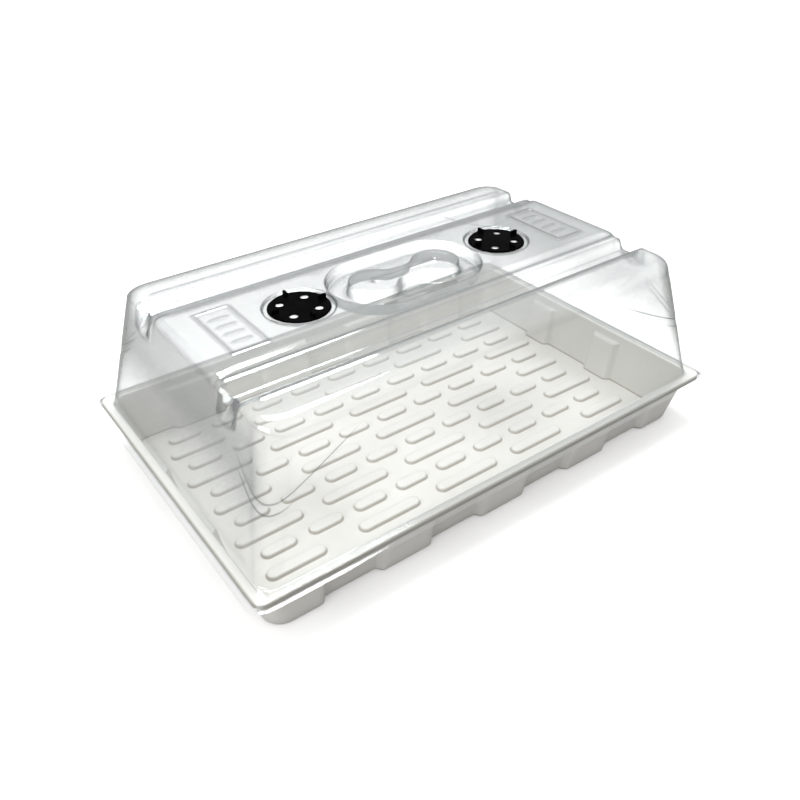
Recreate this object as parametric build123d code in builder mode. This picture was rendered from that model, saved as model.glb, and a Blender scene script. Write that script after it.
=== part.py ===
"""Seed tray with a clear lift-off dome and two rotary vent shutters.

Millimetres, +Z up. X runs along the tray, Y across it. The origin is at the middle of the
footprint, on the surface that the tray stands on.
"""
import os

from build123d import *

# ---- Overall sizes ----
lip_length = 600.0          # the dome's trim lip, the widest outline, along X
lip_width = 392.0           # the same across, along Y
tray_height = 61.5          # floor to the top of the tray's rim
plateau_height = 208.0      # floor to the dome's flat top panel

# ---- Sheet thicknesses and clearances ----
tray_wall = 1.6
dome_wall = 1.0
disc_wall = 1.8
seat_gap = 0.3              # dome on rim, and shutter on its seat
lip_gap = 0.8               # dome's step around the rim's edge
stud_gap = 0.06             # shutter stud in its hole, on the radius

# ---- Tray ----
lip_overhang = 7.2          # the lip stands this far outside the rim
rim_land = 9.6              # flat width of the rim
rim_skirt = 6.0             # the rim's turned-down edge
rim_corner = 11.0
wall_lean = 9.9             # the tub's walls come in this far from rim to floor
floor_corner = 20.0
recess_depth = 7.0          # recesses between the foot blocks
recess_slope = 4.5          # run of a recess's slanted cheek
recess_roof = 50.0          # recesses end at this height, under the rim
side_pitch = 125.0          # foot blocks along the long sides
side_recess = 66.0          # recess mouth on the long sides
end_recess = 40.0           # recess mouth on the short ends
end_recess_at = 55.0        # its distance from the middle

# ---- Drainage ribs on the tray's floor ----
rib_height = 4.0
rib_width = 15.0
rib_lean = 20.0             # draft of a rib's sides, degrees
row_pitch = 28.2            # rows of long and short ribs take turns
row_count = 11
short_rib, short_pitch, short_count = 40.0, 55.0, 9
long_ribs = {               # two kinds of long row: (distance from the middle, length)
    0: [(0.0, 84.0), (104.5, 76.0), (216.0, 67.0)],
    1: [(0.0, 84.0), (109.5, 83.0), (215.0, 78.0)],
}

# ---- Dome ----
lip_corner = 16.0
lip_drop = 5.0              # the lip's underside lies this far under the rim's top
base_setback = 0.8          # the dome's wall stands outside the rim's inner edge by this much
base_corner = 20.0
end_lean = 33.0             # end walls come in this far from rim to top
side_lean = 24.0            # side walls, the same
top_corner = 32.0
shoulder = 20.0             # rounding between the walls and the top
ridge_drop = 3.0            # the two ridges lie this far under the flat panel
panel_edge = 56.5           # half width of the flat panel
panel_foot = 71.0           # half width where its slope ends
valley_floor = (86.0, 100.0)
valley_mouth = (75.0, 109.0)
valley_depth = 10.0         # under the ridges
bead_width = 7.0
bead_height = 1.0
bead_rows = (71.0, 114.0)   # distances of the beads from the middle
bead_stop = 5.0             # a bead ends this far before the shoulder's outer edge

# ---- Hand hold in the flat panel ----
hold_half_length = 89.0
hold_radius = 54.5
hold_depth = 13.0
grip_rise = 1.2             # the grip stands this far above the panel
grip_lobe = 26.0
grip_lobe_at = 40.0
grip_waist = 10.5           # half width
grip_blend = 16.0           # rounding between the waist and the lobes
hold_draft = 8.0            # degrees, on the recess and the grip

# ---- Vents and shutters ----
vent_at = 128.0             # distance of each vent from the middle
disc_radius = 31.5
seat_margin = 5.0           # seat recess outside the shutter
seat_depth = 2.5
hole_radius = 4.6
hole_circle = 20.0
hole_count = 4
stud_radius = 6.0
stud_bore = 4.2             # the stud is hollow
barb_reach = 1.3            # barb past the stud
barb_height = 2.0
slot_width = 1.6            # slots that let the stud spring
disc_bevel = 1.0
fin_height, fin_length, fin_width = 4.5, 8.0, 2.2

# ---- Framed panels at the ends of the flat top ----
frame_at = 202.0
frame_size = (38.0, 86.0)
frame_line = 1.6
frame_rise = 0.8
bar_count = 4
bar_pitch = 16.0
bar_size = (18.0, 2.2)

# ---- Derived sizes ----
rim_length = lip_length - 2 * lip_overhang
rim_width = lip_width - 2 * lip_overhang
inner_length = rim_length - 2 * rim_land      # inside of the tub at the rim
inner_width = rim_width - 2 * rim_land
ridge_height = plateau_height - ridge_drop
flange_low = tray_height + seat_gap
lip_low = tray_height - lip_drop
base_length = inner_length + 2 * base_setback
base_width = inner_width + 2 * base_setback
top_length = base_length - 2 * end_lean
top_width = base_width - 2 * side_lean
hold_floor = plateau_height - hold_depth
seat_floor = plateau_height - seat_depth
disc_low = seat_floor + seat_gap
stud_hole = stud_radius + stud_gap
barb_top = seat_floor - dome_wall - seat_gap


def tub(inset):
    """The tub's tapered solid with its recesses, drawn in by the given wall."""
    mouth = (inner_length + 2 * tray_wall - 2 * inset, inner_width + 2 * tray_wall - 2 * inset)
    foot = (mouth[0] - 2 * wall_lean, mouth[1] - 2 * wall_lean)
    with BuildPart() as body:
        with BuildSketch(Plane.XY.offset(inset)):
            RectangleRounded(*foot, floor_corner - inset)
        with BuildSketch(Plane.XY.offset(tray_height)):
            RectangleRounded(*mouth, rim_corner)
        loft()
    cutters = []
    for side in (-1, 1):
        for place in (-1.5, -0.5, 0.5, 1.5):
            turn = 0 if side > 0 else 180
            cutters.append((turn, place * side_pitch, inner_width / 2 + tray_wall, side_recess))
        for place in (-1, 1):
            turn = -90 if side > 0 else 90
            cutters.append((turn, place * end_recess_at, inner_length / 2 + tray_wall, end_recess))
    lean = wall_lean / tray_height
    roof = recess_roof + inset
    for turn, along, face, mouth_width in cutters:
        with BuildPart(Plane.XY.rotated((0, 0, turn))) as cutter:
            for level in (0, roof):
                wall = face - wall_lean + lean * level
                deep = wall - recess_depth - inset
                with BuildSketch(Plane.XY.rotated((0, 0, turn)).offset(level)):
                    with BuildLine():
                        half = mouth_width / 2 + inset
                        out = recess_depth
                        Polyline(
                            (along - half - recess_slope, wall + out),
                            (along - half, wall),
                            (along - half + recess_slope, deep),
                            (along + half - recess_slope, deep),
                            (along + half, wall),
                            (along + half + recess_slope, wall + out),
                            close=True,
                        )
                    make_face()
            loft()
        body.part = body.part - cutter.part
    return body.part


def rib_places():
    """Places of the drainage ribs on the floor, grouped by length: {length: [(x, y), ...]}."""
    places = {}
    for row in range(-(row_count // 2), row_count // 2 + 1):
        if row % 2:
            first = -(short_count - 1) / 2
            ribs = [((first + step) * short_pitch, short_rib) for step in range(short_count)]
        else:
            middle, *outer = long_ribs[(row // 2) % 2]
            ribs = [middle] + [(side * x, length) for x, length in outer for side in (-1, 1)]
        for x, length in ribs:
            places.setdefault(length, []).append((x, row * row_pitch))
    return places


# ---- Tray ----
tub_outside = tub(0.0)
tub_inside = tub(tray_wall)
with BuildPart() as tray:
    add(tub_outside)
    with BuildSketch(Plane.XY.offset(tray_height - rim_skirt)):
        RectangleRounded(rim_length, rim_width, rim_corner)
        RectangleRounded(
            rim_length - 2 * tray_wall, rim_width - 2 * tray_wall, rim_corner - tray_wall,
            mode=Mode.SUBTRACT,
        )
    extrude(amount=rim_skirt)
    with BuildSketch(Plane.XY.offset(tray_height - tray_wall)):
        RectangleRounded(rim_length, rim_width, rim_corner)
    extrude(amount=tray_wall)
    add(tub_inside, mode=Mode.SUBTRACT)
    for length, places in rib_places().items():
        with BuildSketch(Plane.XY.offset(tray_wall)):
            with Locations(*places):
                SlotOverall(length, rib_width)
        extrude(amount=rib_height, taper=rib_lean)
tray.part.label = "tray"


def dome_body(inset):
    """The dome's solid above the flange, drawn in by the given wall, without its lip."""
    floor = flange_low - (2 * inset)
    with BuildPart() as body:
        with BuildSketch(Plane.XY.offset(floor)):
            RectangleRounded(base_length - 2 * inset, base_width - 2 * inset, base_corner - inset)
        with BuildSketch(Plane.XY.offset(ridge_height - inset)):
            RectangleRounded(top_length - 2 * inset, top_width - 2 * inset, top_corner - inset)
        loft()
        fillet(body.edges().group_by(Axis.Z)[-1], shoulder - inset)
        reach = top_length / 2 + end_lean
        top = ridge_height - inset
        for side in (-1, 1):
            with BuildSketch(Plane.YZ.offset(-reach)):
                with BuildLine():
                    Polyline(
                        (side * (valley_mouth[0] - inset), top + dome_wall),
                        (side * (valley_floor[0] - inset), top - valley_depth),
                        (side * (valley_floor[1] + inset), top - valley_depth),
                        (side * (valley_mouth[1] + inset), top + dome_wall),
                        close=True,
                    )
                make_face()
            extrude(amount=2 * reach, mode=Mode.SUBTRACT)
        flat = top_length / 2 - shoulder / 2
        with BuildSketch(Plane.YZ.offset(-flat + inset)):
            with BuildLine():
                Polyline(
                    (-panel_foot + inset, top - dome_wall), (-panel_foot + inset, top),
                    (-panel_edge + inset, plateau_height - inset),
                    (panel_edge - inset, plateau_height - inset),
                    (panel_foot - inset, top), (panel_foot - inset, top - dome_wall),
                    close=True,
                )
            make_face()
        extrude(amount=2 * (flat - inset))
        with BuildSketch(Plane.XY.offset(plateau_height)):
            SlotOverall(2 * (hold_half_length + inset), 2 * (hold_radius + inset))
        extrude(amount=-hold_depth - inset, taper=hold_draft, mode=Mode.SUBTRACT)
        with BuildSketch(Plane.XY.offset(hold_floor - inset)) as grip:
            with Locations((-grip_lobe_at, 0), (grip_lobe_at, 0)):
                Circle(grip_lobe + hold_draft / 4 - inset)
            Rectangle(2 * grip_lobe_at, 2 * (grip_waist - inset))
            corners = grip.vertices().filter_by(lambda v: abs(abs(v.Y) - grip_waist + inset) < 0.1)
            fillet(corners, grip_blend + inset)
        extrude(amount=hold_depth + grip_rise, taper=hold_draft)
        with BuildSketch(Plane.XY.offset(plateau_height)):
            with Locations((-vent_at, 0), (vent_at, 0)):
                Circle(disc_radius + seat_margin + inset)
        extrude(amount=-seat_depth - inset, mode=Mode.SUBTRACT)
    return body.part


# ---- Dome ----
dome_outside = dome_body(0.0)
dome_inside = dome_body(dome_wall)
step_length = rim_length + 2 * (lip_gap + dome_wall)
step_width = rim_width + 2 * (lip_gap + dome_wall)
step_corner = rim_corner + lip_gap + dome_wall
with BuildPart() as dome:
    add(dome_outside)
    with BuildSketch(Plane.XY.offset(flange_low)):
        RectangleRounded(step_length, step_width, step_corner)
    extrude(amount=dome_wall)
    with BuildSketch(Plane.XY.offset(lip_low)):
        RectangleRounded(step_length, step_width, step_corner)
        RectangleRounded(
            step_length - 2 * dome_wall, step_width - 2 * dome_wall, step_corner - dome_wall,
            mode=Mode.SUBTRACT,
        )
    extrude(amount=flange_low - lip_low)
    with BuildSketch(Plane.XY.offset(lip_low)):
        RectangleRounded(lip_length, lip_width, lip_corner)
        RectangleRounded(
            step_length - 2 * dome_wall, step_width - 2 * dome_wall, step_corner - dome_wall,
            mode=Mode.SUBTRACT,
        )
    extrude(amount=dome_wall)
    add(dome_inside, mode=Mode.SUBTRACT)
    bead_length = top_length - 2 * bead_stop
    for row in bead_rows:
        with BuildSketch(Plane.XY.offset(ridge_height - dome_wall / 2)):
            with Locations((0, -row), (0, row)):
                SlotOverall(bead_length - shoulder, bead_width)
        extrude(amount=bead_height + dome_wall / 2, taper=hold_draft)
    with BuildSketch(Plane.XY.offset(plateau_height - dome_wall / 2)):
        with Locations((-frame_at, 0), (frame_at, 0)):
            Rectangle(*frame_size)
            Rectangle(
                frame_size[0] - 2 * frame_line, frame_size[1] - 2 * frame_line,
                mode=Mode.SUBTRACT,
            )
            with GridLocations(1, bar_pitch, 1, bar_count):
                Rectangle(*bar_size)
    extrude(amount=frame_rise + dome_wall / 2)
    with BuildSketch(Plane.XY.offset(seat_floor)):
        with Locations((-vent_at, 0), (vent_at, 0)):
            Circle(stud_hole)
            with PolarLocations(hole_circle, hole_count, start_angle=45):
                Circle(hole_radius)
    extrude(amount=-2 * dome_wall, mode=Mode.SUBTRACT)
dome.part.label = "dome"


def shutter(centre):
    """A rotary shutter: bevelled disc, four holes, four finger fins and a barbed hollow stud."""
    with BuildPart(Plane((centre, 0, 0))) as disc:
        plane = Plane((centre, 0, disc_low))
        with BuildSketch(plane):
            Circle(disc_radius)
        extrude(amount=disc_wall)
        chamfer(disc.edges().group_by(Axis.Z)[-1], disc_bevel)
        with BuildSketch(plane.offset(disc_wall / 2)):
            with PolarLocations(disc_radius - fin_length / 2 - disc_bevel, 4):
                Rectangle(fin_length, fin_width)
        extrude(amount=disc_wall / 2 + fin_height)
        with BuildSketch(Plane((centre, 0, barb_top))):
            Circle(stud_radius)
        extrude(amount=disc_low - barb_top)
        with BuildSketch(Plane((centre, 0, barb_top - barb_height))):
            Circle(stud_radius + barb_reach)
        extrude(amount=barb_height)
        with BuildSketch(Plane((centre, 0, barb_top - barb_height))):
            Circle(stud_bore)
        extrude(amount=barb_height + disc_low - barb_top, mode=Mode.SUBTRACT)
        with BuildSketch(Plane((centre, 0, barb_top - barb_height))):
            with PolarLocations(0, 2):
                Rectangle(3 * stud_radius, slot_width)
        extrude(amount=barb_height + seat_gap, mode=Mode.SUBTRACT)
        with BuildSketch(plane.offset(disc_wall)):
            with PolarLocations(hole_circle, hole_count, start_angle=45):
                Circle(hole_radius)
        extrude(amount=-disc_wall, mode=Mode.SUBTRACT)
    return disc.part


# ---- Vent shutters ----
vent_disc_left = shutter(-vent_at)
vent_disc_left.label = "vent_disc_left"
vent_disc_right = shutter(vent_at)
vent_disc_right.label = "vent_disc_right"

os.makedirs("parts", exist_ok=True)
for piece in (tray.part, dome.part, vent_disc_left, vent_disc_right):
    export_step(piece, f"parts/{piece.label}.step")
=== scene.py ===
"""A seed tray with a clear lift-off dome and two vent shutters, on a pale studio floor."""

import bmesh
import bpy
import numpy as np
from mathutils import Matrix, Vector


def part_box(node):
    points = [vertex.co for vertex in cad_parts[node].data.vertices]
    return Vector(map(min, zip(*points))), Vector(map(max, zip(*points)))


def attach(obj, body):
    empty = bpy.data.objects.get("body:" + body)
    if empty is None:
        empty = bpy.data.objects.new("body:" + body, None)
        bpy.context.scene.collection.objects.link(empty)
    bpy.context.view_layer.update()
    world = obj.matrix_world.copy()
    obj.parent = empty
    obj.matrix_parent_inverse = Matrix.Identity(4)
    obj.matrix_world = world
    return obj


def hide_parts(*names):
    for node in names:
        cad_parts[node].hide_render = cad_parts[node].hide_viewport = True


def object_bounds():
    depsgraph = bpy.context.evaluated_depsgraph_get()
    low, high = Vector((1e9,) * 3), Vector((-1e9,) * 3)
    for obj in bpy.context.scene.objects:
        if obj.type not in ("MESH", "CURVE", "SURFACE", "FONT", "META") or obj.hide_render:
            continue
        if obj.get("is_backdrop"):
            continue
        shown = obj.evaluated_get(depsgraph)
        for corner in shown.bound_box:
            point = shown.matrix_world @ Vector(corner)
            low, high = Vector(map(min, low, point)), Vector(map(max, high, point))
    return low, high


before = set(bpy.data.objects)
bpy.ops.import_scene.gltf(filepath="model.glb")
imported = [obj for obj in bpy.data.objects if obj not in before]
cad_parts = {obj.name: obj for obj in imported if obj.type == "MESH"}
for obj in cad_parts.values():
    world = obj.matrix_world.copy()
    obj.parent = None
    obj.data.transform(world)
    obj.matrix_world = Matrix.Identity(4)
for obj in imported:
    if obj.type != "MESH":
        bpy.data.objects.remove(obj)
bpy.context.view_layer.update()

# ---- Tray ----
# One sheet of white polystyrene, heated and drawn down into a mould, so its wall is even, its edges
# are soft and every rib on top is a dimple underneath. The rim is a flat land with a turned-down
# skirt, and the walls step in between the foot blocks to stiffen them. All lengths are millimetres.
MM = 0.001
tray_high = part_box("tray")[1]
rim_half = np.array(tray_high[:2]) / MM
tray_top = tray_high.z / MM
tray_wall = 1.6
rim_land, rim_skirt, rim_corner = 9.6, 6.0, 11.0
wall_lean = 9.9                                # how far a wall runs outward on its way up
wall_slope = 80.6                              # degrees from the floor to a wall
foot_round, mouth_round, edge_round = 2.6, 2.5, 1.6
mouth_half = rim_half - rim_land
tangent_share = np.tan(np.radians(wall_slope / 2))
floor_inset = wall_lean + foot_round * tangent_share
floor_half = mouth_half - floor_inset
floor_corner, foot_corner = 17.0, 18.5
wall_corner, corner_loss = 20.0, 9.0           # radius at the ground, and what it loses by the top
floor_crown = 3.5
recess_depth = 7.0
recess_share = {11: 1, 24: 1, 37: 1, 46: 1, 48.6: 1, 50.1: 0.96, 50.9: 0.85, 51.4: 0.62, 51.6: 0.35,
                51.9: 0.12, 52.6: 0.03, 54.2: 0}   # height: share of the depth, closing at the roof
side_recesses = {at: 33.5 for at in (-187.5, -62.5, 62.5, 187.5)}
end_recesses = {at: 20.5 for at in (-55.0, 55.0)}
cheek = np.array([2.1, 1.0, -1.3, -3.4, -4.6])
rib_height = 4.0
rib_rings = np.array([5.2, 6.0, 6.7, 7.4, 8.2])
rib_profile = rib_height * np.array([1.0, 0.93, 0.5, 0.09, 0.0])
rib_radius = 7.5
row_pitch, row_reach = 28.2, 5
short_ribs = [(55.0 * step, 40.0) for step in range(-4, 5)]
long_ribs = [
    [(0.0, 84.0)] + [(side * at, size) for side in (-1, 1) for at, size in ((104.5, 76.0), (216.0, 67.0))],
    [(0.0, 84.0)] + [(side * at, size) for side in (-1, 1) for at, size in ((109.5, 83.0), (215.0, 78.0))],
]
end_zone = 255.0                               # past it the grid follows the end walls' recesses
# Painted shade on the tray: how dark the sheet is painted on a rib's slopes and a wall's foot, by height, and
# on the skirt.
rib_slope_shade = ([0.0, 0.02, 0.36, 2.0, 3.6, 4.0], [0.0, 0.3, 0.75, 0.55, 0.05, 0.0])  # by height on a rib
wall_foot_shade = ([1.9, 2.6, 3.6], [1.0, 0.5, 0.0])     # by height on a wall
skirt_shade, skirt_from = 0.6, 1.4              # the skirt's tone, and how far in from the rim's edge
tray_columns = 139


def smooth(value, start, end):
    """Rises from 0 at start to 1 at end along 3t^2 - 2t^3."""
    t = np.clip((value - start) / (end - start), 0, 1)
    return t * t * (3 - 2 * t)


def spread(stops, count):
    """Sorted positions through all the stops, with the spare ones put where the gaps are widest."""
    stops = np.sort(np.asarray(stops, float))
    gaps, parts = np.diff(stops), np.ones(len(stops) - 1, int)
    for _ in range(count - len(stops)):
        parts[np.argmax(gaps / parts)] += 1
    return stops, np.concatenate([[0], np.cumsum(parts)])


def line(stops, index):
    """Positions 0, 1, 2 ... of a line whose stops stand at the given index numbers."""
    return np.interp(np.arange(index[-1] + 1), index, stops)


def rounded(x, y, base, corner, half, radius, keep):
    """Carries points of a base rectangle to a rounded one.

    In a corner square of the base, nested squares become nested arcs: a point (a, b) of the unit
    square goes to radius * max(a, b) along its own direction. Along the sides, positions up to keep
    stay as they are and the rest stretches to meet the new corner's centre.
    """
    share = [np.clip((np.abs(v) - (b - corner)) / corner, 0, 1) for v, b in zip((x, y), base)]
    size = np.maximum(*share) / np.maximum(np.hypot(*share), 1e-9)
    placed = []
    for v, s, b, h, k in zip((x, y), share, base, half, keep):
        straight = np.interp(np.abs(v), [0, k, b - corner], [0, k, h - radius])
        placed.append(np.sign(v) * (straight + radius * s * size))
    return placed


def outline_normal(x, y, base, corner):
    """Unit vectors square to the outline, for points on the base rectangle's edge."""
    share = [np.clip((np.abs(v) - (b - corner)) / corner, 0, 1) * np.sign(v) for v, b in zip((x, y), base)]
    length = np.hypot(*share)
    return share[0] / length, share[1] / length


def edge_of(k):
    """The outer entries of an index grid, anticlockwise."""
    return np.concatenate([k[0, :-1], k[:-1, -1], k[-1, :0:-1], k[:0:-1, 0]])


def grid_faces(k):
    """Quads of an index grid, facing up where its rows run along +Y and its columns along +X."""
    return np.stack([k[:-1, :-1], k[:-1, 1:], k[1:, 1:], k[1:, :-1]], -1).reshape(-1, 4)


def ring_faces(k):
    """Quads between closed anticlockwise rings, listed from the inside outward, facing up."""
    after = np.roll(k, -1, axis=1)
    return np.stack([k[:-1], k[1:], after[1:], after[:-1]], -1).reshape(-1, 4)


def normals(points, faces):
    """Unit normals: each quad's area vector, half its diagonals' cross product, summed at its corners."""
    corners = points[faces]
    area = np.cross(corners[:, 2] - corners[:, 0], corners[:, 3] - corners[:, 1])
    total = np.zeros_like(points)
    for corner in range(4):
        np.add.at(total, faces[:, corner], area)
    return total / np.maximum(np.linalg.norm(total, axis=1, keepdims=True), 1e-12)


def piece(name, points, faces, values=None):
    """A smooth mesh from millimetre points; doubled points at poles and seams are merged."""
    mesh = bpy.data.meshes.new(name)
    mesh.from_pydata((points * MM).tolist(), [], faces.tolist())
    for label, value in (values or {}).items():
        mesh.attributes.new(label, "FLOAT", "POINT").data.foreach_set("value", value.astype(np.float32))
    work = bmesh.new()
    work.from_mesh(mesh)
    bmesh.ops.remove_doubles(work, verts=work.verts, dist=1e-6)
    work.to_mesh(mesh)
    work.free()
    mesh.shade_smooth()
    made = bpy.data.objects.new(name, mesh)
    bpy.context.scene.collection.objects.link(made)
    return made


def shell(name, outer, inner, faces, values=None):
    """A closed wall: the outer skin, the inner skin turned over, and a strip along every open edge."""
    count = len(outer)
    start, end = faces.ravel(), np.roll(faces, -1, axis=1).ravel()
    loose = ~np.isin(start * count + end, end * count + start)
    a, b = start[loose], end[loose]
    strip = np.stack([b, a, a + count, b + count], -1)
    both = {label: np.tile(value, 2) for label, value in (values or {}).items()}
    return piece(name, np.vstack([outer, inner]), np.vstack([faces, faces[:, ::-1] + count, strip]), both)


def recess(along, places):
    """How deep the wall steps in, from 0 to 1: a flat-bottomed notch with soft slanted cheeks."""
    return sum(smooth(half + cheek[0] - np.abs(along - at), 0, cheek[0] - cheek[-1])
               for at, half in places.items())


def rib_stops(ribs, off):
    """Where the grid crosses the ribs' rings at a distance off from their centre line."""
    reach = np.sqrt(np.maximum(rib_rings ** 2 - off ** 2, 0))
    step = 0.25 * np.arange(len(reach))
    reach = np.maximum.accumulate(np.maximum(reach, 0.25) - step) + step
    ends = [[at - size / 2 + rib_radius - reach, at + size / 2 - rib_radius + reach] for at, size in ribs]
    return np.sort(np.concatenate([[-floor_half[0], floor_half[0]], np.ravel(ends)]))


def rib_height_at(x, off, ribs):
    """A rib's height, read from its profile by the distance to its core line."""
    away = [np.hypot(np.maximum(np.abs(x - at) - (size / 2 - rib_radius), 0), off) for at, size in ribs]
    return np.interp(np.min(away, axis=0), rib_rings, rib_profile)


offsets = np.concatenate([-rib_rings[::-1], [-3.0, 0.0, 3.0], rib_rings])
y_lines, x_lines, rib_z = [], [], []
for row in range(-row_reach, row_reach + 1):
    ribs = short_ribs if row % 2 else long_ribs[(row // 2) % 2]
    stops, index = spread(rib_stops(ribs, 0.0), tray_columns)
    band = np.array([line(rib_stops(ribs, off), index) for off in offsets])
    if y_lines:
        y_lines.append((row - 0.5) * row_pitch)
        x_lines.append((x_lines[-1] + band[0]) / 2)
        rib_z.append(np.zeros(tray_columns))
    y_lines.extend(row * row_pitch + offsets)
    x_lines.extend(band)
    rib_z.extend(rib_height_at(band, offsets[:, None], ribs))
last_row = y_lines[-1]
border = np.array([0.22, 0.42, 0.6, 0.76, 0.9, 1.0])
side_line = line(*spread(
    np.concatenate([[-floor_half[0], floor_half[0]]] + [
        at + turn * (half + cheek) for at, half in side_recesses.items() for turn in (-1, 1)
    ]), tray_columns))
for turn in (-1, 1):
    extra_y = turn * (last_row + border * (floor_half[1] - last_row))
    extra_x = x_lines[-1] + border[:, None] * (side_line - x_lines[-1])
    flat = np.zeros((len(border), tray_columns))
    if turn < 0:
        y_lines = list(extra_y[::-1]) + y_lines
        x_lines, rib_z = list(extra_x[::-1]) + x_lines, list(flat) + rib_z
    else:
        y_lines, x_lines, rib_z = y_lines + list(extra_y), x_lines + list(extra_x), rib_z + list(flat)
tray_x = np.array(x_lines)
rib_z = np.array(rib_z)
tray_rows = len(y_lines)
end_stops = np.concatenate([[-floor_half[1], floor_half[1]]] + [
    at + turn * (half + cheek) for at, half in end_recesses.items() for turn in (-1, 1)])
end_line = line(*spread(end_stops, tray_rows))
near_end = smooth(np.abs(tray_x), end_zone, floor_half[0])
tray_y = np.array(y_lines)[:, None] * (1 - near_end) + end_line[:, None] * near_end
near_side = smooth(np.abs(tray_y), last_row + 1.0, floor_half[1])

tray_keep = (232.0, 84.0)
floor_x, floor_y = rounded(tray_x, tray_y, floor_half, floor_corner, floor_half, floor_corner, tray_keep)
floor_x = floor_x - np.sign(tray_x) * recess_depth * recess(tray_y, end_recesses) * near_end
floor_y = floor_y - np.sign(tray_y) * recess_depth * recess(tray_x, side_recesses) * near_side
bulge = (1 - (floor_x / floor_half[0]) ** 2) * (1 - (floor_y / floor_half[1]) ** 2)
floor_z = tray_wall + floor_crown * np.clip(bulge, 0, 1)

# Rings from the floor's edge up the wall, over the rim and down its skirt, each an
# (outward, height, corner radius, share of the recess).
levels = []
for angle in np.radians([16.0, 34.0, 54.0, wall_slope]):
    levels.append((-floor_inset + foot_round * np.sin(angle),
                   tray_wall + foot_round * (1 - np.cos(angle)), foot_corner, 1.0))
for height, deep in recess_share.items():
    lean = wall_lean * (tray_top - height) / (tray_top - tray_wall)
    levels.append((-lean, height, wall_corner - corner_loss * height / tray_top, deep))
mouth_tangent = mouth_round * tangent_share
for angle in np.radians([90.0 - wall_slope, 30.0, 50.0, 70.0, 90.0]):
    levels.append((mouth_tangent - mouth_round * np.cos(angle),
                   tray_top - mouth_round * (1 - np.sin(angle)), rim_corner, 0.0))
for angle in np.radians([0.0, 25.0, 50.0, 72.0, 90.0]):
    levels.append((rim_land - edge_round * (1 - np.sin(angle)),
                   tray_top - edge_round * (1 - np.cos(angle)), rim_corner, 0.0))
levels.append((rim_land, tray_top - rim_skirt, rim_corner, 0.0))

floor_index = np.arange(tray_rows * tray_columns).reshape(tray_rows, tray_columns)
edge = edge_of(floor_index)
edge_x, edge_y = tray_x.ravel()[edge], tray_y.ravel()[edge]
side_x, side_y = outline_normal(edge_x, edge_y, floor_half, floor_corner)
step_in = (recess(edge_x, side_recesses) * (np.abs(side_y) > 0.999)
           + recess(edge_y, end_recesses) * (np.abs(side_x) > 0.999)) * recess_depth
points = [np.stack([floor_x, floor_y, floor_z], -1).reshape(-1, 3)]
for out, height, corner, deep in levels:
    ring_x, ring_y = rounded(edge_x, edge_y, floor_half, floor_corner, mouth_half + out, corner, tray_keep)
    ring_x, ring_y = ring_x - side_x * step_in * deep, ring_y - side_y * step_in * deep
    points.append(np.stack([ring_x, ring_y, np.full(len(edge), height)], -1))
points = np.vstack(points)
ring_index = floor_index.size + np.arange(len(levels) * len(edge)).reshape(len(levels), -1)
faces = np.vstack([grid_faces(floor_index), ring_faces(np.vstack([edge[None], ring_index]))])
under = points - tray_wall * normals(points, faces)
ribbed = np.zeros(points.shape)
ribbed[:rib_z.size, 2] = rib_z.ravel()
# Painted shade, not a relief: it darkens the ribs' slopes, the walls' foot and the skirt, where shadow falls.
painted_shade = np.zeros(len(points))
painted_shade[:rib_z.size] = np.interp(rib_z.ravel(), *rib_slope_shade)
painted_shade[rib_z.size:] = np.interp(points[rib_z.size:, 2], *wall_foot_shade)
outside = np.max(np.abs(points[:, :2]) - mouth_half, axis=1) > rim_land - skirt_from
painted_shade = np.maximum(painted_shade, skirt_shade * outside)
tray_sheet = shell("seed_tray", points + ribbed, under + ribbed, faces, {"painted_shade": painted_shade})


class Paint:
    """A socket of a material's node tree; sums of sockets and numbers add Math nodes."""

    def __init__(self, tree, socket=None):
        self.tree, self.socket = tree, socket

    def node(self, kind, values=(), out=0, stops=(), **settings):
        """Adds a node: its settings, then a ramp's stops, then the values or links of its sockets."""
        made = self.tree.nodes.new(kind)
        for name, value in settings.items():
            setattr(made, name, value)
        for number, (place, shade) in enumerate(stops):
            ramp = made.color_ramp.elements
            stop = ramp[number] if number < len(ramp) else ramp.new(place)
            stop.position, stop.color = place, (shade, shade, shade, 1) if np.isscalar(shade) else (*shade, 1)
        for name, value in dict(values).items():
            if isinstance(value, Paint):
                self.tree.links.new(value.socket, made.inputs[name])
            else:
                made.inputs[name].default_value = value
        return Paint(self.tree, made.outputs[out])

    def sum(self, operation, a, b):
        return self.node("ShaderNodeMath", {0: a, 1: b}, operation=operation)

    def __add__(self, other):
        return self.sum("ADD", self, other)

    def __sub__(self, other):
        return self.sum("SUBTRACT", self, other)

    def __rsub__(self, other):
        return self.sum("SUBTRACT", other, self)

    def __mul__(self, other):
        return self.sum("MULTIPLY", self, other)

    def __pow__(self, other):
        return self.sum("POWER", self, other)

    __radd__, __rmul__ = __add__, __mul__

    def between(self, low, high, start=0.0, end=1.0):
        """The value carried from low..high to start..end, and held at those ends."""
        return self.node("ShaderNodeMapRange",
                         {"Value": self, "From Min": low, "From Max": high, "To Min": start, "To Max": end})

    def blend(self, one, other):
        """A colour that goes from one to other as this value goes from 0 to 1."""
        return self.node("ShaderNodeMix", {0: self, 6: one, 7: other}, out=2, data_type="RGBA")


def new_material(name):
    """A material with one Principled shader on its output."""
    made = bpy.data.materials.new(name)
    made.use_nodes = True
    tree = made.node_tree
    return made, Paint(tree), tree.nodes["Principled BSDF"]


def set_sockets(paint, shader, values):
    """Sets or links the shader's sockets by name."""
    for name, value in values.items():
        if isinstance(value, Paint):
            paint.tree.links.new(value.socket, shader.inputs[name])
        else:
            shader.inputs[name].default_value = value


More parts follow.
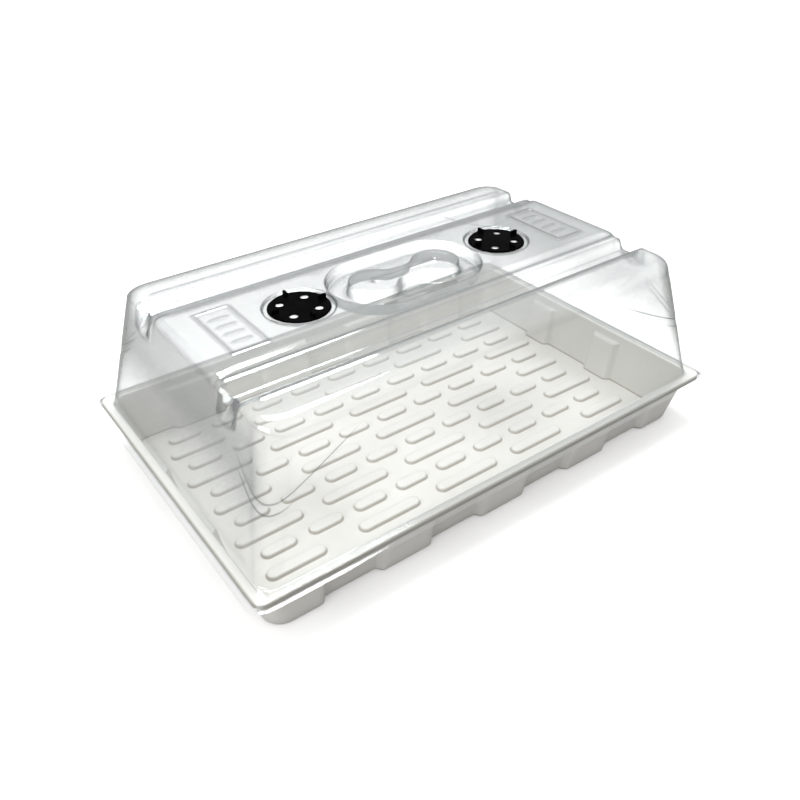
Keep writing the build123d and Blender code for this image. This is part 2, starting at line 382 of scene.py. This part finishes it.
def polystyrene():
    """Satin white sheet: faint clouding in colour and gloss, chill ripples and fine grain in the skin.

    The colour goes from white to a grey brown by the painted shade on the ribs' slopes, the walls' foot and
    the skirt.
    """
    made, paint, shader = new_material("tray_white")
    place = paint.node("ShaderNodeTexCoord", out="Object")
    cloud = paint.node("ShaderNodeTexNoise", {"Vector": place, "Scale": 9.0, "Detail": 3.0})
    speck = paint.node("ShaderNodeTexNoise", {"Vector": place, "Scale": 420.0, "Detail": 2.0})
    ripple = paint.node("ShaderNodeTexNoise", {"Vector": place, "Scale": 38.0, "Detail": 2.0})
    shade = cloud.between(0.3, 0.7) * 0.7 + speck.between(0.35, 0.65) * 0.3
    # Painted shade, read from the mesh: it turns the white towards a grey brown where shadow falls.
    painted_shade = paint.node("ShaderNodeAttribute", out="Fac", attribute_name="painted_shade")
    bump = paint.node("ShaderNodeBump", {
        "Strength": 0.25, "Distance": 0.0006, "Height": ripple * 0.8 + speck * 0.2})
    white = shade.blend((0.675, 0.662, 0.630, 1), (0.735, 0.722, 0.692, 1))
    set_sockets(paint, shader, {
        "Base Color": painted_shade.blend(white, (0.33, 0.295, 0.245, 1)),
        "Roughness": cloud.between(0.3, 0.7, 0.36, 0.5),
        "Normal": bump,
        "Specular IOR Level": 0.45,
    })
    return made


tray_sheet.data.materials.append(polystyrene())
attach(tray_sheet, "tray")
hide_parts("tray")

# ---- Dome ----
# One sheet of clear rigid plastic, drawn up over a mould. Two valleys run its whole length over both
# ends, with a flat panel between them that holds the vent seats, the hand hold and two framed
# panels. Its flange lies on the tray's rim, and a lip steps down round the rim's edge.
dome_low, dome_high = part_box("dome")
lip_half = np.array(dome_high[:2]) / MM
lip_low = dome_low.z / MM
dome_wall = 1.0
ridge_top, panel_rise = 205.0, 3.0
rim_gap, side_gap = 0.3, 0.8                   # under the flange, and beside the rim's edges
flange_top = tray_top + rim_gap + dome_wall
base_half = mouth_half + side_gap
top_half = base_half - (33.0, 24.0)
wall_angle = np.arctan((base_half - top_half) / (ridge_top - flange_top))
shoulder = np.array([10.0, 20.0])              # ends, sides
shoulder_reach = shoulder * np.tan((np.pi / 2 - wall_angle) / 2)
cap_half = top_half - shoulder_reach
cap_corner = 19.0
cap_keep = (205.0, 109.6)
hold_core, hold_radius = 34.5, 54.5
hold_block = np.array([90.2, 56.0])
hold_floor, seat_floor = -13.0, -2.5           # down from the panel
grip_core, grip_lobe, grip_waist, grip_blend = 40.0, 26.0, 10.5, 16.0
vent_at, vent_block, seat_radius = 128.0, 37.2, 36.5
stud_hole, vent_hole, hole_circle = 6.06, 4.6, 20.0
frame_at, frame_half, frame_line = 202.0, np.array([19.0, 43.0]), 1.6
bar_rows, bar_half = (-24.0, -8.0, 8.0, 24.0), np.array([9.0, 1.1])
relief_rise = 0.4
valley_line, valley_drop, valley_end = 93.0, 10.0, 262.0
bead_lines = {71.0: 243.0, 114.0: 231.0}       # distance across: where the bead's end begins
flare_from, flare_reach, flare = 226.0, 26.0, 9.0
dome_columns = 141


def cap_relief(along, across):
    """Height over the ridges: the panel and its slopes, the beads, and the valleys with rounded ends.

    along is the distance from the middle, measured over the shoulder and down the end wall.
    """
    across = np.abs(across)
    panel = np.interp(across, [0, 55.8, 57.4, 59.5, 66.6, 69.5], [1, 1, 0.9, 0.72, 0.1, 0])
    height = panel_rise * panel * (1 - smooth(along, 244.0, 264.0))
    for row, end in bead_lines.items():
        away = np.hypot(np.maximum(along - end, 0), across - row)
        height = height + 1.05 * (1 - smooth(away, 0.8, 3.6))
    away = np.hypot(np.maximum(along - valley_end, 0), across - valley_line)
    inner = np.interp(away, [0, 5.5, 6.8, 8.4, 13.0, 17.4, 19.0], [1, 1, 0.985, 0.9, 0.5, 0.06, 0])
    outer = np.interp(away, [0, 5.5, 6.8, 8.4, 12.0, 15.2, 16.6], [1, 1, 0.985, 0.9, 0.45, 0.06, 0])
    shallower = 1 - 0.6 * smooth(along, 251.0, 274.0)
    return height - valley_drop * shallower * np.where(across < valley_line, inner, outer)


across_stops = np.array([
    0, 3.3, 6.4, 6.9, 9.1, 9.6, 12.5, 15.8, 19.2, 22.4, 22.9, 25.1, 25.6, 28.5, 31.5, 34.5, vent_block,
    41.2, 41.6, 42.8, 43.2, 47, 51.5, hold_block[1], 57.4, 59.5, 63, 66.6, 68.2, 69.6, 71, 72.4, 73.8,
    75.6, 80, 84.6, 86.2, 87.5, 93, 98.5, 99.8, 101.4, 105, 108.2, 109.6, 111, 112.6, 114, 115.4, 117,
    118.6, 124, 129, 134, cap_half[1]])
across_line = np.concatenate([-across_stops[:0:-1], across_stops])
along_stops = np.concatenate([
    [0, hold_block[0], vent_at - vent_block, vent_at + vent_block, flare_from, 231, 234, 237, cap_half[0]],
    [frame_at + side * half + d for half in (frame_half[0], frame_half[0] - frame_line, bar_half[0])
     for side in (-1, 1) for d in (-0.2, 0.2)]])
along_line = line(*spread(np.concatenate([-along_stops[along_stops > 0], along_stops]), dome_columns))
cap_x, cap_y0 = np.meshgrid(along_line, across_line)
widen = np.interp(np.abs(cap_y0), [0, 44, 55, 58.5, 66.6, 200], [0, 0, 1, 1, 0, 0])
flared = np.clip((np.abs(cap_x) - flare_from) / flare_reach, 0, 1) ** 2
cap_y = cap_y0 + np.sign(cap_y0) * widen * flare * flared
sheet_x, sheet_y = rounded(cap_x, cap_y, cap_half, cap_corner, cap_half, cap_corner, cap_keep)
sheet_z = ridge_top + cap_relief(np.abs(cap_x), cap_y0)


def inside(value, middle, half):
    """1 within half of the middle, 0 outside, over a narrow slope."""
    return smooth(half - np.abs(value - middle), -0.2, 0.2)


def moulded_lines(x, y):
    """The raised frame lines and plain bars at both ends of the panel."""
    x = np.abs(x)
    outer = inside(x, frame_at, frame_half[0]) * inside(y, 0, frame_half[1])
    inner = inside(x, frame_at, frame_half[0] - frame_line) * inside(y, 0, frame_half[1] - frame_line)
    bars = sum(inside(x, frame_at, bar_half[0]) * inside(y, row, bar_half[1]) for row in bar_rows)
    return relief_rise * (outer - inner + bars)


dome_rows = len(across_line)
cap_index = np.arange(dome_rows * dome_columns).reshape(dome_rows, dome_columns)
points = [np.stack([sheet_x, sheet_y, sheet_z], -1).reshape(-1, 3)]
lines_up = [moulded_lines(cap_x, cap_y0).ravel()]
cut = np.zeros(cap_index.shape, bool)[1:, 1:]
faces, count = [], cap_index.size


def block(half_x, half_y, middle):
    """Index grid of the cap's points in a rectangle, and a mask of its quads."""
    columns = np.flatnonzero(np.abs(along_line - middle) < half_x + 0.01)
    rows = np.flatnonzero(np.abs(across_line) < half_y + 0.01)
    cells = (slice(rows[0], rows[-1]), slice(columns[0], columns[-1]))
    return cap_index[rows[0]:rows[-1] + 1, columns[0]:columns[-1] + 1], cells


def stadium(x, y, core, radius):
    """Points at a radius from the core line, in the direction of the given ones."""
    heart = np.clip(x, -core, core)
    away = np.maximum(np.hypot(x - heart, y), 1e-9)
    return heart + radius * (x - heart) / away, radius * y / away


def grip_outline(x, y, grow):
    """The grip's dog-bone outline, grown by a distance: two round lobes, a waist, and arcs between."""
    lobe, waist, blend = grip_lobe + grow, grip_waist + grow, grip_blend - grow
    across = waist + blend
    reach = grip_core - np.sqrt((lobe + blend) ** 2 - across ** 2)
    touch = grip_core - (grip_core - reach) * lobe / (lobe + blend)
    heart = np.clip(x, -hold_core, hold_core)
    along = np.abs(heart) * grip_core / hold_core
    half = np.where(along < reach, waist, np.where(
        along < touch, across - np.sqrt(np.maximum(blend ** 2 - (along - reach) ** 2, 0)),
        np.sqrt(np.maximum(lobe ** 2 - (grip_core - along) ** 2, 0))))
    away = np.maximum(np.hypot(x - heart, y), 1e-9)
    cap = np.abs(x) > hold_core
    return (np.where(cap, np.sign(x) * grip_core + lobe * (x - heart) / away, np.sign(x) * along),
            np.where(cap, lobe * y / away, np.sign(y) * half))


def lead_in(edge_x, edge_y, x, y, reach):
    """A ring on the way from the first ring out to the block's edge, at most reach from the first."""
    gap = np.maximum(np.hypot(edge_x - x, edge_y - y), 1e-9)
    share = np.minimum(reach, 0.5 * gap) / gap
    return x + share * (edge_x - x), y + share * (edge_y - y)


# The hand hold: rings from the block's edge down the recess, across its floor and up over the grip.
hold_index, cells = block(*hold_block, 0.0)
cut[cells] = True
edge = edge_of(hold_index)
edge_x, edge_y = points[0][edge, 0], points[0][edge, 1]
panel_top = ridge_top + panel_rise
rings = [(1.2, 0.0), (0.5, -0.15), (0.0, -0.7), (-0.25, -1.7), (-1.0, -7.0), (-1.7, -11.4),
         (-2.3, -12.5), (-3.6, hold_floor)]
rings = [(*stadium(edge_x, edge_y, hold_core, hold_radius + out), down) for out, down in rings]
rings = [(*lead_in(edge_x, edge_y, *rings[0][:2], 1.5), 0.0)] + rings
recess_foot, grip_foot = rings[-1], grip_outline(edge_x, edge_y, 3.4)
rings += [tuple((1 - t) * a + t * b for a, b in zip(recess_foot[:2], grip_foot)) + (hold_floor,)
          for t in (0.35, 0.7)]
rings += [(*grip_outline(edge_x, edge_y, out), up) for out, up in (
    (3.4, hold_floor), (2.3, -12.6), (1.8, -11.6), (1.0, -6.0), (0.25, -0.6), (0.0, 0.3),
    (-0.5, 0.95), (-1.6, 1.2))]
grip_x, grip_y = rings[-1][:2]
core_x = np.clip(grip_x, -grip_core, grip_core)
rings += [(core_x + t * (grip_x - core_x), t * grip_y, 1.2 + 0.3 * (1 - t)) for t in (0.7, 0.35, 0.0)]
hold_rings = np.array([np.stack([x, y, np.full(len(edge), panel_top) + up], -1) for x, y, up in rings])
ring_index = count + np.arange(hold_rings.shape[0] * len(edge)).reshape(len(rings), -1)
faces.append(ring_faces(np.vstack([edge[None], ring_index])[::-1]))
points.append(hold_rings.reshape(-1, 3))
lines_up.append(np.zeros(ring_index.size))
count += ring_index.size

# The vent seats: rings from each block's edge down to the seat, then in to the stud's hole.
seat_rings = [(0.4, 0.0), (0.0, -0.3), (-0.25, -1.1), (-0.5, -2.0), (-1.0, -2.4), (-2.0, seat_floor),
              (-5.5, seat_floor)]
seat_rings = [(seat_radius + out, down) for out, down in seat_rings]
seat_rings += [(radius, seat_floor) for radius in (*np.linspace(27.0, 12.6, 12), 9.0, stud_hole)]
for side in (-1, 1):
    seat_index, cells = block(vent_block, vent_block, side * vent_at)
    cut[cells] = True
    edge = edge_of(seat_index)
    angle = np.arctan2(points[0][edge, 1], points[0][edge, 0] - side * vent_at)
    made = [(radius * np.cos(angle), radius * np.sin(angle), down) for radius, down in seat_rings]
    lead = lead_in(points[0][edge, 0] - side * vent_at, points[0][edge, 1], *made[0][:2], 1.2)
    made = np.array([np.stack([x, y, np.full(len(edge), down)], -1) for x, y, down in [(*lead, 0.0)] + made])
    ring_index = count + np.arange(made.shape[0] * len(edge)).reshape(len(made), -1)
    quads = ring_faces(np.vstack([edge[None], ring_index])[::-1])
    for hole in np.radians([45, 135, 225, 315]):
        middle = hole_circle * np.array([np.cos(hole), np.sin(hole)])
        flat = made.reshape(-1, 3)
        near = np.hypot(*(flat[:, :2] - middle).T)
        local = np.clip(quads - count, 0, None)
        centre = flat[local][:, :, :2].mean(axis=1) - middle
        gone = (np.hypot(*centre.T) < vent_hole) & (quads.min(axis=1) >= count)
        rim_points = np.intersect1d(quads[gone], quads[~gone]) - count
        stretch = (vent_hole / near[rim_points])[:, None]
        flat[rim_points, :2] = middle + (flat[rim_points, :2] - middle) * stretch
        made = flat.reshape(made.shape)
        quads = quads[~gone]
    faces.append(quads)
    points.append(made.reshape(-1, 3) + (side * vent_at, 0, panel_top))
    lines_up.append(np.zeros(ring_index.size))
    count += ring_index.size

faces.append(grid_faces(cap_index).reshape(dome_rows - 1, dome_columns - 1, 4)[~cut])

# Rings over the shoulder, down the walls, out along the flange, down the step and out to the lip.
edge = edge_of(cap_index)
edge_x, edge_y = cap_x.ravel()[edge], cap_y.ravel()[edge]
across = cap_y0.ravel()[edge]
side_x, side_y = outline_normal(edge_x, edge_y, cap_half, cap_corner)
corner_round = 30.0                            # radius under the shoulder
flange_corner, past_relief = 20.0, 200.0       # past_relief: too far down for any relief
foot, step_round, lip_round = 1.6, 1.3, 1.2
rings = []
for share in np.linspace(0, 1, 9)[1:]:
    angle = share * (np.pi / 2 - wall_angle)
    half = cap_half + shoulder * np.sin(angle)
    drop = shoulder * (1 - np.cos(angle))
    corner = cap_corner + (corner_round - cap_corner) * share
    rings.append((half, ridge_top - drop, corner, angle, shoulder[0] * angle[0]))
wall_heights = np.concatenate([[182.0, 178.5], np.linspace(176.0, 126.0, 21), [118, 108, 96, 84, 74]])
for height in wall_heights:
    half = top_half + (base_half - top_half) * (ridge_top - height) / (ridge_top - flange_top)
    corner = corner_round - (corner_round - flange_corner) * (ridge_top - height) / (ridge_top - flange_top)
    down = rings[7][4] + (rings[7][1][0] - height) / np.cos(wall_angle[0])
    rings.append((half, np.full(2, height), corner, np.pi / 2 - wall_angle, down))
for angle in np.radians([10.0, 35.0, 60.0, 90.0]):
    rings.append((base_half + foot * 0.85 - foot * np.cos(angle),
                  np.full(2, flange_top + foot * (1 - np.sin(angle))),
                  flange_corner, np.zeros(2), past_relief))
step_half = rim_half + side_gap + dome_wall
for angle in np.radians([0.0, 30.0, 60.0, 90.0]):
    rings.append((step_half - step_round * (1 - np.sin(angle)),
                  np.full(2, flange_top - step_round * (1 - np.cos(angle))),
                  12.8, np.zeros(2), past_relief))
lip_top = lip_low + dome_wall
for angle in np.radians([0.0, 45.0, 90.0]):
    rings.append((step_half + lip_round * (1 - np.cos(angle)),
                  np.full(2, lip_top + lip_round * (1 - np.sin(angle))),
                  13.5, np.zeros(2), past_relief))
rings.append((lip_half - 0.5, np.full(2, lip_top), 15.6, np.zeros(2), past_relief))
rings.append((lip_half, np.full(2, lip_top - 0.35), 16.0, np.zeros(2), past_relief))


crease_low, crease_round = 127.0, 26.5         # a crease's lowest height, and its rounding there
climb_side, climb_end = 0.6, 0.95              # how steeply it climbs the two walls


def corner_crease(x, y, half, height):
    """A shallow band pressed into each corner: it hangs lowest at the corner and climbs both walls."""
    along = (half[0] - np.abs(x)) - (half[1] - np.abs(y))
    climb = np.where(along > 0, climb_side, climb_end)
    path = crease_low + climb * (np.hypot(along, crease_round) - crease_round)
    band = smooth(height - path, -1.5, 1.5) - smooth(height - path, 7.5, 11.0)
    return band * (1 - smooth(along, 55.0, 92.0)) * (1 - smooth(-along, 30.0, 52.0))


wall_points = []
for half, height, corner, angle, down in rings:
    ring_x, ring_y = rounded(edge_x, edge_y, cap_half, cap_corner, half, corner, cap_keep)
    ring_z = height[0] * side_x ** 2 + height[1] * side_y ** 2
    push = cap_relief(cap_half[0] + down, across) * (np.abs(side_x) > 0.999)
    if 120 < height.mean() < 180:
        push = push - 0.5 * corner_crease(ring_x, ring_y, half, ring_z)
    sine = np.where(np.abs(side_x) > np.abs(side_y), np.sin(angle[0]), np.sin(angle[1]))
    wall_points.append(np.stack([
        ring_x + push * sine * side_x, ring_y + push * sine * side_y,
        ring_z + push * np.sqrt(1 - sine ** 2)], -1))
ring_index = count + np.arange(len(rings) * len(edge)).reshape(len(rings), -1)
faces.append(ring_faces(np.vstack([edge[None], ring_index])))
points.append(np.vstack(wall_points))
lines_up.append(np.zeros(ring_index.size))
points, faces = np.vstack(points), np.vstack(faces)
skin = normals(points, faces)
raised = np.concatenate(lines_up)[:, None] * (0.0, 0.0, 1.0)
high = points[:, 2]
across = np.abs(points[:, 1])
on_top = smooth(high, ridge_top - 15.0, ridge_top - 11.0)
# Two painted values for the material: how cloudy the sheet is, by place, and how sharply it folds,
# which is one less the length of the mean of the unit normals of the quads round a point. Along the
# folds the material darkens the sheet: painted shade.
haze = on_top * np.interp(across, [0, 55, 70, 74, 84, 100, 108, 116, 124, 140],
                          [0.66, 0.66, 0.55, 0.3, 0.3, 0.3, 0.3, 0.35, 0.4, 0.45])
haze = haze + (1 - on_top) * smooth(high, flange_top + 20.0, flange_top + 100.0) * np.interp(
    np.abs(points[:, 0]), [230.0, 262.0], [0.25, 0.8])
corners = (points + raised)[faces]
facing = np.cross(corners[:, 2] - corners[:, 0], corners[:, 3] - corners[:, 1])
facing /= np.maximum(np.linalg.norm(facing, axis=1, keepdims=True), 1e-12)
mean, used = np.zeros_like(points), np.zeros(len(points))
for corner in range(4):
    np.add.at(mean, faces[:, corner], facing)
    np.add.at(used, faces[:, corner], 1)
fold = 1 - np.linalg.norm(mean, axis=1) / np.maximum(used, 1)
fold_gain, flange_fold, hold_fold, frame_fold = 40.0, 0.25, 0.6, 0.55
fold = np.clip(fold * fold_gain, 0, 1) * np.where(high > flange_top + 3, 1.0, flange_fold)
in_hold = (np.abs(points[:, 0]) < hold_block[0]) & (across < hold_block[1])
in_frame = (np.abs(np.abs(points[:, 0]) - frame_at) < 22) & (across < 46) & (high > ridge_top)
fold = fold * np.where(in_hold, hold_fold, 1.0) * (1 - frame_fold * in_frame)
dome_sheet = shell("clear_dome", points + raised, points - dome_wall * skin, faces,
                   {"haze": haze, "fold": fold})


def corner_lines(paint, place):
    """Two thin lines of painted shade round each corner, at the edges of the pressed corner band, from 0 to 1
    across them.

    Each hangs lowest at the corner and climbs both walls: its height is a slope times the
    rounded distance from the corner's upright edge.
    """
    x, y, z = (paint.node("ShaderNodeMath", {0: paint.node("ShaderNodeSeparateXYZ", {0: place}, out=axis)},
                          operation="ABSOLUTE") * (1 / MM) for axis in range(3))
    narrow = (base_half - top_half)[0] - (base_half - top_half)[1]
    along = (y - x) + (base_half[0] - base_half[1]) - (z - flange_top) * (narrow / (ridge_top - flange_top))
    climb = (along * along + 700.0) ** 0.5 - crease_round
    low = z - climb * along.between(-6.0, 6.0, climb_end, climb_side) - crease_low
    lines = 0.0
    for above, width, reach in ((0.0, 1.0, 34.0), (9.5, 0.9, 95.0)):
        off = paint.node("ShaderNodeMath", {0: low - above}, operation="ABSOLUTE")
        fade = along.between(reach - 25.0, reach, 1.0, 0.0)
        lines = off.between(0.25 * width, width, 1.0, 0.0) * fade + lines
    return lines * along.between(-52.0, -30.0, 0.0, 1.0)


def clear_sheet():
    """Clear sheet as a mix, without refraction: what isn't mirrored or veiled passes straight through.

    The share that stays grows towards grazing angles and along folds and corner lines, and a faint
    veil of scuffs and haze lies over it. The colour darkens with the same things and with the haze;
    along the folds and corner lines this darkening is painted shade.
    """
    made, paint, shader = new_material("dome_clear")
    place = paint.node("ShaderNodeTexCoord", out="Object")
    cloud = paint.node("ShaderNodeTexNoise", {"Vector": place, "Scale": 7.0, "Detail": 4.0})
    ripple = paint.node("ShaderNodeTexNoise", {"Vector": place, "Scale": 14.0, "Detail": 1.5})
    scuff = paint.node("ShaderNodeTexNoise", {"Vector": place, "Scale": 160.0, "Detail": 2.0})
    bump = paint.node("ShaderNodeBump", {"Strength": 0.3, "Distance": 0.0009, "Height": ripple})
    graze = paint.node("ShaderNodeLayerWeight", {"Blend": 0.5, "Normal": bump}, out="Facing")
    haze = paint.node("ShaderNodeAttribute", out="Fac", attribute_name="haze")
    fold = paint.node("ShaderNodeAttribute", out="Fac", attribute_name="fold")
    edge = corner_lines(paint, place)
    scuffs = cloud.between(0.35, 0.7) * 0.015 + scuff.between(0.5, 0.75) * 0.01
    veil = scuffs + haze * graze.between(0.1, 0.5, 0.1, 0.42)
    share = paint.sum("MINIMUM", 0.015 + 0.9 * graze ** 3.1 + fold * 0.32 + edge * 0.35 + veil, 0.92)
    # Painted shade: the colour darkens along the folds and corner lines.
    darker = paint.sum("MAXIMUM", graze.between(0.5, 0.9), fold * 0.6 + haze * 0.75 + edge)
    set_sockets(paint, shader, {
        "Base Color": darker.blend((0.80, 0.82, 0.82, 1), (0.27, 0.295, 0.30, 1)),
        "Roughness": cloud.between(0.3, 0.7, 0.03, 0.07),
        "Metallic": 0.85,
        "Normal": bump,
    })
    clear = paint.node("ShaderNodeBsdfTransparent", {"Color": (0.985, 0.99, 0.99, 1)})
    solid = Paint(paint.tree, shader.outputs[0])
    mixed = paint.node("ShaderNodeMixShader", {0: share, 1: clear, 2: solid})
    output = next(n for n in paint.tree.nodes if n.type == "OUTPUT_MATERIAL")
    paint.tree.links.new(mixed.socket, output.inputs["Surface"])
    return made


dome_sheet.data.materials.append(clear_sheet())
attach(dome_sheet, "dome")
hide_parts("dome")

# ---- Vent shutters ----
# Two injection-moulded discs of black plastic. Four holes match those in the seat, four small fins
# take a finger, and a hollow barbed stud snaps through the seat so that the disc can turn.


def moulded_black():
    """Black moulding: near-black with little sheen and a fine sparked texture.

    The IOR is far below a real plastic's, so that the disc stays black under the wide light.
    """
    made, paint, shader = new_material("shutter_black")
    place = paint.node("ShaderNodeTexCoord", out="Object")
    grain = paint.node("ShaderNodeTexNoise", {"Vector": place, "Scale": 900.0, "Detail": 2.0})
    cloud = paint.node("ShaderNodeTexNoise", {"Vector": place, "Scale": 60.0, "Detail": 2.0})
    bump = paint.node("ShaderNodeBump", {"Strength": 0.2, "Distance": 0.0002, "Height": grain})
    set_sockets(paint, shader, {
        "Base Color": cloud.between(0.3, 0.7).blend((0.0008, 0.0008, 0.0008, 1), (0.002, 0.002, 0.002, 1)),
        "Roughness": grain.between(0.3, 0.7, 0.2, 0.28),
        "Normal": bump,
        "IOR": 1.08,
        "Specular IOR Level": 0.12,
    })
    return made


black = moulded_black()
for node in ("vent_disc_left", "vent_disc_right"):
    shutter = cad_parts[node]
    for slot in shutter.material_slots:
        slot.material = black

# ---- Floor, light and camera ----
# A plain pale floor in a pale surround, under one wide soft light above the object and behind its
# middle, with a weaker one from the left. The camera sees both white. As sources of light the floor is
# darker, and so is the surround towards the horizon, so that the clear sheet keeps its tones.
floor_mesh = bpy.data.meshes.new("studio_floor")
reach = 6.0
floor_mesh.from_pydata([(-reach, -reach, 0), (reach, -reach, 0), (reach, reach, 0), (-reach, reach, 0)],
                       [], [(0, 1, 2, 3)])
floor = bpy.data.objects.new("studio_floor", floor_mesh)
floor.location.z = -0.0002
bpy.context.scene.collection.objects.link(floor)
paper, paint, shader = new_material("studio_paper")
set_sockets(paint, shader, {"Base Color": (0.93, 0.93, 0.93, 1), "Roughness": 0.9, "Specular IOR Level": 0.1,
                            "Emission Color": (1, 1, 1, 1), "Emission Strength": 0.16})
seen = paint.node("ShaderNodeLightPath", out="Is Camera Ray")
dim = paint.node("ShaderNodeBsdfDiffuse", {"Color": (0.34, 0.335, 0.325, 1)})
both = paint.node("ShaderNodeMixShader", {0: seen, 1: dim, 2: Paint(paint.tree, shader.outputs[0])})
paint.tree.links.new(both.socket, paint.tree.nodes["Material Output"].inputs["Surface"])
floor_mesh.materials.append(paper)
floor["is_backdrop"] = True

world = bpy.data.worlds.new("studio")
world.use_nodes = True
bpy.context.scene.world = world
sky = Paint(world.node_tree)
height = sky.node("ShaderNodeSeparateXYZ", {0: sky.node("ShaderNodeTexCoord", out="Generated")}, out="Z")
seen = sky.node("ShaderNodeLightPath", out="Is Camera Ray")
backdrop = world.node_tree.nodes["Background"]
glow = sky.sum("MAXIMUM", height.between(0.1, 0.85, 0.5, 1.15), seen)
world.node_tree.links.new(glow.blend((0.0, 0.0, 0.0, 1), (1.0, 1.0, 1.0, 1)).socket, backdrop.inputs["Color"])
backdrop.inputs["Strength"].default_value = 1.0
bpy.context.scene.view_settings.view_transform = "Standard"


def softbox(name, place, aim, size, power):
    """A rectangular area light at place, turned to face aim."""
    lamp = bpy.data.lights.new(name, "AREA")
    lamp.shape, lamp.size, lamp.size_y, lamp.energy = "RECTANGLE", size[0], size[1], power
    made = bpy.data.objects.new(name, lamp)
    made.location = place
    back = np.array(place) - np.array(aim)
    made.rotation_euler = Vector(back).to_track_quat("Z", "Y").to_euler()
    bpy.context.scene.collection.objects.link(made)
    return made


softbox("key_above", (0.2, 0.4, 1.8), (0, 0, 0.1), (0.9, 0.8), 36)
softbox("side_left", (-1.7, -0.6, 0.9), (0, 0, 0.1), (1.2, 1.2), 15)

azimuth, elevation, roll = np.radians([-36.03, 35.11, -0.63])
back = np.array([
    np.sin(azimuth) * np.cos(elevation), -np.cos(azimuth) * np.cos(elevation), np.sin(elevation)])
right = np.array([np.cos(azimuth), np.sin(azimuth), 0.0])
up = np.cross(back, right)
turned = np.cos(roll) * right + np.sin(roll) * up, -np.sin(roll) * right + np.cos(roll) * up
camera = bpy.data.objects.new("camera", bpy.data.cameras.new("camera"))
camera.data.lens = 35.93
camera.data.clip_start, camera.data.clip_end = 0.01, 50.0
matrix = np.eye(4)
matrix[:3, 0], matrix[:3, 1], matrix[:3, 2] = *turned, back
matrix[:3, 3] = (-0.454, -0.613, 0.5778)
camera.matrix_world = Matrix(matrix.tolist())
bpy.context.scene.collection.objects.link(camera)
bpy.context.scene.camera = camera

low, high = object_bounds()
